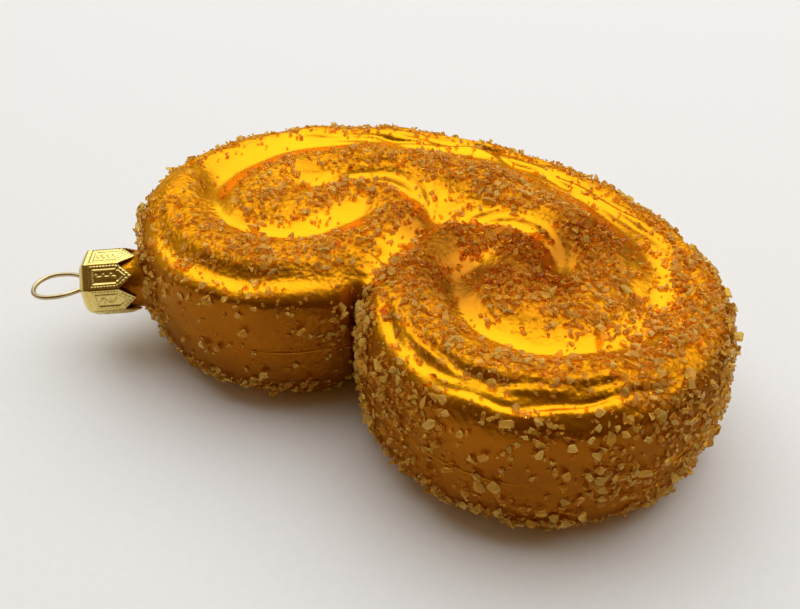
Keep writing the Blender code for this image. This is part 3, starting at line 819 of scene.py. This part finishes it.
def place(rng, kind, per_mm2, size_lo, size_hi, gap, bias=1.5):
    """Points on the shell for one kind of grain, kept apart from those already there."""
    weight = tri_area * density(tri_c, kind) * ~bare(tri_c)
    count = int(per_mm2 * weight.sum())
    pick = rng.choice(len(weight), size=count, p=weight / weight.sum())
    u, v = rng.random(count), rng.random(count)
    over = u + v > 1
    u[over], v[over] = 1 - u[over], 1 - v[over]
    a, b, c = (tri_p[pick, i] for i in range(3))
    p = a + u[:, None] * (b - a) + v[:, None] * (c - a)
    size = size_lo + (size_hi - size_lo) * rng.random(count) ** bias
    kept = []
    cell = 1.2
    key = np.floor(p / cell).astype(int)
    for i in range(count):
        kx, ky, kz = key[i]
        px, py, pz = p[i]
        r = size[i] / 2
        ok = True
        for dx in (-1, 0, 1):
            for dy in (-1, 0, 1):
                for dz in (-1, 0, 1):
                    for qx, qy, qz, qr in taken.get((kx + dx, ky + dy, kz + dz), ()):
                        lim = gap * (r + qr)
                        if (px - qx) ** 2 + (py - qy) ** 2 + (pz - qz) ** 2 < lim * lim:
                            ok = False
                            break
                    if not ok:
                        break
                if not ok:
                    break
            if not ok:
                break
        if ok:
            kept.append(i)
            taken.setdefault((kx, ky, kz), []).append((px, py, pz, r))
    kept = np.array(kept)
    return p[kept], tri_n[pick][kept], size[kept]


def laid_flat(rng, normals, lean):
    """Turns that set a flake on the surface, spun at random and leaning a little."""
    a = rng.normal(size=normals.shape)
    t = np.cross(normals, a)
    t /= np.linalg.norm(t, axis=1, keepdims=True)
    b = np.cross(normals, t)
    c, s = np.cos(lean)[:, None], np.sin(lean)[:, None]
    return np.stack([t, b * c + normals * s, normals * c - b * s], -1)


def crystals(name, seed, tones, placed, count, hull_points, bevel, flat, sink, lean):
    """One mesh of all the grains of a kind, each a turned and stretched crystal."""
    points, normals, sizes = placed
    rng = np.random.default_rng(seed)
    shapes = [template(rng, int(rng.integers(*hull_points)), bevel, flat) for _ in range(count)]
    which = rng.integers(0, count, len(points))
    turns = laid_flat(rng, normals, rng.normal(0.0, math.radians(lean), len(points)))
    stretch = rng.uniform(0.8, 1.25, (len(points), 3))
    # grains in the painted shade patches get lower, browner tones
    tone = np.clip(rng.normal(*tones, len(points)) - 0.50 * painted_shade_patches(points), 0, 1)
    lift = sizes * flat * rng.uniform(0.5 - sink - 0.10, 0.5 - sink + 0.25, len(points))
    all_v, all_f, all_t, base = [], [], [], 0
    for k, (v, f) in enumerate(shapes):
        at = np.where(which == k)[0]
        if not len(at):
            continue
        q = v[None] * (stretch[at] * sizes[at, None])[:, None, :]
        q = np.einsum("nij,nvj->nvi", turns[at], q)
        q = q + (points[at] + normals[at] * lift[at, None])[:, None, :]
        low = q[:, :, 2].min(1) + SHIFT[2] > 0.03
        q, a = q[low], at[low]
        all_v.append(q.reshape(-1, 3))
        all_f.append((f[None] + (base + len(v) * np.arange(len(a)))[:, None, None]).reshape(-1, 3))
        all_t.append(np.repeat(tone[a], len(v)))
        base += len(v) * len(a)
    verts, faces = np.concatenate(all_v), np.concatenate(all_f)
    obj = new_mesh(name, verts + SHIFT, faces, GRIT, False, {"tone": np.concatenate(all_t)})
    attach(obj, "root")
    print("GRAINS", name, len(points), "triangles", len(faces))
    return obj


rng = np.random.default_rng(7)
crystals("grit_coarse", 21, (0.84, 0.15), place(rng, 0, 0.74, 1.2, 2.4, 0.48),
         26, (9, 13), 0.07, 0.55, 0.12, 32.0)
crystals("grit_medium", 22, (0.70, 0.20), place(rng, 1, 2.5, 0.95, 1.7, 0.40),
         26, (9, 13), 0.0, 0.5, 0.15, 26.0)
crystals("grit_fine", 23, (0.54, 0.18), place(rng, 2, 3.6, 0.55, 1.05, 0.38),
         20, (8, 11), 0.0, 0.55, 0.18, 26.0)


def splinter():
    """The one long shard, standing out of the rim at the back left."""
    v, f = template(np.random.default_rng(77), 14, 0.05, 0.6)
    ends = np.array([[-55.6, -11.0, 20.6], [-51.2, -7.6, 19.6]])
    along = ends[1] - ends[0]
    length = np.linalg.norm(along)
    along /= length
    side = np.cross(along, (0.0, 0.0, 1.0))
    side /= np.linalg.norm(side)
    turn = np.stack([along, side, np.cross(along, side)], -1)
    span = v.max(0) - v.min(0)
    q = (v - (v.max(0) + v.min(0)) / 2) / span * (length, 2.2, 1.5)
    taper = 0.35 + 0.65 * smooth((q[:, 0] / length + 0.5) * 1.3)
    q[:, 1:] *= taper[:, None]
    q = q @ turn.T + ends.mean(0)
    obj = new_mesh("grit_splinter", q + SHIFT, f, GRIT, False, {"tone": np.full(len(q), 0.85)})
    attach(obj, "root")


splinter()

# ===================================================================== cap ===
CAP_TURN = math.radians(180.0 + AXIS_DEG)
CAP_AT = np.array([MOUTH[0], MOUTH[1], MID]) + SHIFT


def from_cap(p):
    """Cap frame (tips at x = 0, closed end at CAP_LENGTH) to the world."""
    p = np.asarray(p, float)
    c, s = math.cos(CAP_TURN), math.sin(CAP_TURN)
    return np.stack([p[:, 0] * c - p[:, 1] * s, p[:, 0] * s + p[:, 1] * c, p[:, 2]], -1) + CAP_AT


def petal_relief(x, v, kind):
    """Stamped relief of one petal: x from the tip, v across, height in mm."""
    half = np.where(x > PETAL_POINT, SIDE_HALF, SIDE_HALF * x / PETAL_POINT)
    slope = math.cos(math.atan2(SIDE_HALF, PETAL_POINT))
    border = np.minimum(half - np.abs(v), 9.0)
    border = np.where(x < PETAL_POINT * 1.15, np.minimum(border, (half - np.abs(v)) * slope), border)
    border = np.minimum(border, PETAL_X1 - 0.25 - x)
    run = np.where(x < PETAL_POINT, np.abs(v) * 1.25, x)
    bead = 0.5 + 0.5 * np.cos(2 * math.pi * run / 0.52)
    h = 0.15 * np.exp(-((border - 0.38) / 0.17) ** 2) * (0.45 + 0.55 * bead)
    h += 0.11 * np.exp(-((border - 0.86) / 0.11) ** 2)
    h -= 0.05 * smooth((border - 1.0) / 0.25)
    field = smooth((border - 1.05) / 0.2)
    cx = (PETAL_POINT + PETAL_X1) / 2 - 0.2
    u = x - cx
    motif = np.zeros(x.shape)

    def dot(a, b, r, m=1.0):
        return m * np.exp(-(((u - a) ** 2 + (v - b) ** 2) / (r * r)))

    def stroke(c, amp, per, wid, lim):
        return np.exp(-((v - amp * np.sin(2 * math.pi * (u - c) / per)) / wid) ** 2) * smooth((lim - np.abs(u)) / 0.2)
    if kind == 0:
        motif = stroke(0.0, 0.42, 2.3, 0.17, 2.0) + dot(0.58, -0.35, 0.24) + dot(-0.58, 0.35, 0.24)
    elif kind == 1:
        motif = sum(dot(0.62 * k, 0.34 * (-1) ** k, 0.25) for k in range(-3, 4)) + stroke(0.0, 0.0, 2.0, 0.12, 2.1)
    else:
        motif = np.exp(-((np.abs(v) - 0.75 * np.abs(((u / 0.95) % 1.0) - 0.5) - 0.12) / 0.13) ** 2) * smooth((2.0 - np.abs(u)) / 0.2)
    return h + 0.13 * np.clip(motif, 0, 1) * field


SIDE_HALF = CAP_FLAT * math.tan(math.pi / PETALS) - SLOT / 2
PETAL_X1 = CAP_LENGTH - SLOT_STOP + 0.05
FLAT_OUT = CAP_FLAT - 0.16


def make_cap():
    verts, faces = [], []

    def push(v, f):
        base = sum(len(a) for a in verts)
        verts.append(np.asarray(v, float))
        faces.append(np.asarray(f, int) + base)

    nu, nv = 84, 40
    for k in range(PETALS):
        ang = 2 * math.pi * k / PETALS
        c, s = math.cos(ang), math.sin(ang)
        su = np.linspace(0, 1, nu)
        xs = PETAL_X1 * (1 - su)
        xs = np.maximum(xs, 0.06)
        half = np.where(xs > PETAL_POINT, SIDE_HALF, SIDE_HALF * xs / PETAL_POINT)
        w = np.linspace(-1, 1, nv)
        X = np.repeat(xs[:, None], nv, 1)
        V = half[:, None] * w[None]
        top = FLAT_OUT + petal_relief(X, V, k % 3)
        # the petals lean in a little towards the tip
        lean = -0.25 * smooth((2.2 - X) / 2.2)
        top = top + lean
        low = np.full(X.shape, FLAT_OUT - 0.26) + lean
        out = []
        for R in (top, low):
            out.append(np.stack([X, R * c - V * s, R * s + V * c], -1).reshape(-1, 3))
        q = []
        for i in range(nu - 1):
            for j in range(nv - 1):
                a0 = i * nv + j
                q.append((a0, a0 + 1, a0 + nv + 1, a0 + nv))
        q = np.array(q)
        n = nu * nv
        ring = ([i * nv for i in range(nu)] + [(nu - 1) * nv + j for j in range(1, nv)]
                + [i * nv + nv - 1 for i in range(nu - 2, -1, -1)] + list(range(nv - 2, 0, -1)))
        ring = np.array(ring)
        nxt = np.roll(ring, -1)
        sides = np.stack([ring, nxt, nxt + n, ring + n], -1)
        push(np.concatenate(out), np.concatenate([q, q[:, ::-1] + n, sides]))
    # the closed cup: (x, centre-to-flat) rings outside, then inside, with rounded turns
    prof = [(PETAL_X1 - 0.25, FLAT_OUT - 0.05), (PETAL_X1, FLAT_OUT - 0.01), (PETAL_X1 + 0.10, FLAT_OUT + 0.02),
            (CAP_LENGTH - SHOULDER - 0.06, FLAT_OUT + 0.02), (CAP_LENGTH - SHOULDER + 0.06, FLAT_OUT - 0.05),
            (CAP_LENGTH - 0.12, CAP_FLAT - 1.15 * SHOULDER - 0.02), (CAP_LENGTH - 0.02, CAP_FLAT - 1.15 * SHOULDER - 0.16),
            (CAP_LENGTH, CAP_FLAT - 1.15 * SHOULDER - 0.32)]
    inner = [(CAP_LENGTH - CAP_WALL, CAP_FLAT - 1.15 * SHOULDER - 0.4),
             (CAP_LENGTH - SHOULDER - 0.1, FLAT_OUT - 0.34), (PETAL_X1 - 0.25, FLAT_OUT - 0.34)]
    sub = 6                                             # points along each side of the octagon
    ringpts = []
    for x, flat in prof + inner:
        r = []
        for k in range(PETALS):
            a0, a1 = 2 * math.pi * (k - 0.5) / PETALS, 2 * math.pi * (k + 0.5) / PETALS
            rad = flat / math.cos(math.pi / PETALS)
            for i in range(sub):
                t = i / sub
                y = rad * ((1 - t) * math.cos(a0) + t * math.cos(a1))
                z = rad * ((1 - t) * math.sin(a0) + t * math.sin(a1))
                r.append((x, y, z))
        ringpts.append(r)
    m = PETALS * sub
    v = np.array(ringpts).reshape(-1, 3)
    f = []
    rows = len(ringpts)
    np_out = len(prof)
    order = [(i, i + 1) for i in range(np_out - 1)] + [(i, i + 1) for i in range(np_out, rows - 1)] + [(rows - 1, 0)]
    for i, j in order:
        for k in range(m):
            l = (k + 1) % m
            f.append((i * m + k, j * m + k, j * m + l, i * m + l))
    push(v, f)
    # end plates, outside and inside, as rings of quads shrinking to a small hub
    for row, x in ((np_out - 1, CAP_LENGTH), (np_out, CAP_LENGTH - CAP_WALL)):
        base_ring = v[row * m:(row + 1) * m]
        rings = [base_ring]
        for t in (0.82, 0.62, 0.42, 0.22, 0.04):
            r = base_ring.copy()
            r[:, 1:] *= t
            if row == np_out - 1:
                r[:, 0] = x + 0.05 * math.cos(math.pi * t)
            rings.append(r)
        vv = np.concatenate(rings)
        ff = []
        for i in range(len(rings) - 1):
            for k in range(m):
                l = (k + 1) % m
                ff.append((i * m + k, i * m + l, (i + 1) * m + l, (i + 1) * m + k))
        push(vv, ff)
    v, f = np.concatenate(verts), np.concatenate(faces)
    obj = new_mesh("cap_shell", from_cap(v), f, CAPMAT, True)
    bm = bmesh.new()
    bm.from_mesh(obj.data)
    bmesh.ops.remove_doubles(bm, verts=bm.verts, dist=1e-7)
    bmesh.ops.recalc_face_normals(bm, faces=bm.faces)
    bm.to_mesh(obj.data)
    bm.free()
    obj.data.set_sharp_from_angle(angle=math.radians(38))
    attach(obj, "root")
    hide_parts("cap")
    return obj


make_cap()


# ==================================================================== wire ===
def make_wire():
    s = LEG_SPREAD / 2
    w = LOOP_W / 2 - WIRE_R
    x_in, x_face = CAP_LENGTH - LEG_IN, CAP_LENGTH
    tip = CAP_LENGTH + LOOP_OUT - WIRE_R
    mid = (tip + x_face) / 2 + 0.9
    half = [np.array([[x_in, s]]), np.linspace((x_in, s), (x_face + 0.35, s), 9)[1:],
            bezier((x_face + 0.35, s), (x_face + 1.5, s), (mid - 3.2, w), (mid, w), 40)[1:],
            bezier((mid, w), (mid + 2.3, w), (tip, w * 0.62), (tip, 0.0), 40)[1:]]
    half = np.concatenate(half)
    path = np.concatenate([half, half[:-1][::-1] * (1, -1)])
    tilt = math.radians(LOOP_TILT)
    sides = 20
    d = np.gradient(path, axis=0)
    d /= np.linalg.norm(d, axis=1, keepdims=True)
    nrm = np.stack([-d[:, 1], d[:, 0]], -1)
    rows = []
    for k in range(sides):
        a = 2 * math.pi * k / sides
        px = path[:, 0] + nrm[:, 0] * WIRE_R * math.cos(a)
        py = path[:, 1] + nrm[:, 1] * WIRE_R * math.cos(a)
        pz = np.full(len(path), WIRE_R * math.sin(a))
        rows.append(np.stack([px, py * math.cos(tilt) - pz * math.sin(tilt),
                              py * math.sin(tilt) + pz * math.cos(tilt)], -1))
    v = np.stack(rows, 1).reshape(-1, 3)
    f = []
    n = len(path)
    for i in range(n - 1):
        for k in range(sides):
            l = (k + 1) % sides
            f.append((i * sides + k, i * sides + l, (i + 1) * sides + l, (i + 1) * sides + k))
    obj = new_mesh("hanger_wire", from_cap(v), f, WIREMAT, True)
    bm = bmesh.new()
    bm.from_mesh(obj.data)
    bm.verts.ensure_lookup_table()
    bm.faces.new([bm.verts[k] for k in range(sides)])
    bm.faces.new([bm.verts[(n - 1) * sides + k] for k in range(sides)])
    bmesh.ops.recalc_face_normals(bm, faces=bm.faces)
    bm.to_mesh(obj.data)
    bm.free()
    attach(obj, "root")
    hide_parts("wire_loop")


make_wire()


# =================================================== floor, light and camera =
def make_floor():
    bm = bmesh.new()
    bmesh.ops.create_grid(bm, x_segments=8, y_segments=8, size=3.0)
    mesh = bpy.data.meshes.new("paper_floor")
    bm.to_mesh(mesh)
    bm.free()
    obj = bpy.data.objects.new("paper_floor", mesh)
    bpy.context.scene.collection.objects.link(obj)
    obj.location = (0, 0, -0.00002)
    m, nt, b = node_material("pale_paper")
    tc = nt.nodes.new("ShaderNodeTexCoord")
    n = noise(nt, tc.outputs["Object"], 900.0, 3.0)
    col = ramp(nt, [(0.3, (0.895, 0.90, 0.90)), (0.7, (0.915, 0.92, 0.92))])
    nt.links.new(n.outputs["Fac"], col.inputs["Fac"])
    nt.links.new(col.outputs["Color"], b.inputs["Base Color"])
    b.inputs["Roughness"].default_value = 0.6
    b.inputs["Specular IOR Level"].default_value = 0.25
    mesh.materials.append(m)


make_floor()

# camera, fitted to the viewing angle
AZ, EL, ROLL, DIST = math.radians(-38.03), math.radians(39.03), math.radians(-2.59), 132.42
F = np.array([math.sin(AZ) * math.cos(EL), math.cos(AZ) * math.cos(EL), -math.sin(EL)])
R = np.array([math.cos(AZ), -math.sin(AZ), 0.0])
U = np.cross(R, F)
R, U = math.cos(ROLL) * R + math.sin(ROLL) * U, -math.sin(ROLL) * R + math.cos(ROLL) * U
C = (np.array([-0.17, -10.75, 12.0]) - F * DIST + SHIFT) * MM
cam = bpy.data.cameras.new("camera")
cam.sensor_width, cam.lens = 36.0, 36.0
cam.clip_start, cam.clip_end = 0.005, 20.0
camera = bpy.data.objects.new("camera", cam)
bpy.context.scene.collection.objects.link(camera)
camera.matrix_world = Matrix(((R[0], U[0], -F[0], C[0]), (R[1], U[1], -F[1], C[1]),
                              (R[2], U[2], -F[2], C[2]), (0, 0, 0, 1)))
bpy.context.scene.camera = camera


def area(name, at, to, size, power, colour):
    light = bpy.data.lights.new(name, "AREA")
    light.shape = "RECTANGLE"
    light.size, light.size_y = size
    light.energy = power
    light.color = colour
    obj = bpy.data.objects.new(name, light)
    bpy.context.scene.collection.objects.link(obj)
    at, to = Vector(at), Vector(to)
    obj.location = at
    obj.rotation_euler = (to - at).to_track_quat("-Z", "Y").to_euler()
    return obj


# plan directions seen from the camera: away from it, and to its right
AWAY = np.array([F[0], F[1], 0.0]) / math.hypot(F[0], F[1])
RIGHT = np.array([-AWAY[1], AWAY[0], 0.0]) * -1.0


def spot(away, right, up):
    p = AWAY * away + RIGHT * right
    return (float(p[0]), float(p[1]), up)


area("soft_box", spot(0.45, 0.16, 1.0), (0, 0, 0.0), (2.2, 1.30), 16.5, (0.955, 0.98, 1.0))


def studio_world():
    """A pale tent, brighter overhead, open and dim on the side the camera looks in from."""
    world = bpy.data.worlds.new("studio")
    bpy.context.scene.world = world
    world.use_nodes = True
    nt = world.node_tree
    bg = nt.nodes["Background"]
    tc = nt.nodes.new("ShaderNodeTexCoord")
    sep = nt.nodes.new("ShaderNodeSeparateXYZ")
    nt.links.new(tc.outputs["Generated"], sep.inputs[0])
    up = nt.nodes.new("ShaderNodeMapRange")
    up.inputs["From Min"].default_value, up.inputs["From Max"].default_value = 0.0, 0.95
    up.inputs["To Min"].default_value, up.inputs["To Max"].default_value = TENT_LOW, TENT_TOP
    nt.links.new(sep.outputs["Z"], up.inputs["Value"])
    dot = nt.nodes.new("ShaderNodeVectorMath")
    dot.operation = "DOT_PRODUCT"
    nt.links.new(tc.outputs["Generated"], dot.inputs[0])
    e = math.radians(OPENING_UP)
    d = -AWAY * math.cos(e) + np.array([0, 0, math.sin(e)])
    dot.inputs[1].default_value = tuple(float(c) for c in d)
    gap = nt.nodes.new("ShaderNodeMapRange")
    gap.interpolation_type = "SMOOTHSTEP"
    gap.inputs["From Min"].default_value = math.cos(math.radians(OPENING_OUT))
    gap.inputs["From Max"].default_value = math.cos(math.radians(OPENING_IN))
    nt.links.new(dot.outputs["Value"], gap.inputs["Value"])
    col = nt.nodes.new("ShaderNodeMix")
    col.data_type = "RGBA"
    col.inputs[6].default_value = (1.0, 0.925, 0.81, 1.0)
    col.inputs[7].default_value = OPENING_COLOUR
    nt.links.new(gap.outputs[0], col.inputs[0])
    nt.links.new(col.outputs[2], bg.inputs["Color"])
    nt.links.new(up.outputs[0], bg.inputs["Strength"])
    seen = nt.nodes.new("ShaderNodeBackground")
    seen.inputs["Color"].default_value = (0.80, 0.81, 0.79, 1.0)
    lp = nt.nodes.new("ShaderNodeLightPath")
    mx = nt.nodes.new("ShaderNodeMixShader")
    nt.links.new(lp.outputs["Is Camera Ray"], mx.inputs[0])
    nt.links.new(bg.outputs[0], mx.inputs[1])
    nt.links.new(seen.outputs[0], mx.inputs[2])
    nt.links.new(mx.outputs[0], nt.nodes["World Output"].inputs["Surface"])


TENT_LOW, TENT_TOP = 0.36, 0.41
OPENING_UP, OPENING_IN, OPENING_OUT = 24.0, 40.0, 82.0
OPENING_COLOUR = (0.30, 0.145, 0.018, 1.0)
studio_world()

bpy.context.scene.view_settings.view_transform = "Standard"

bpy.context.view_layer.update()
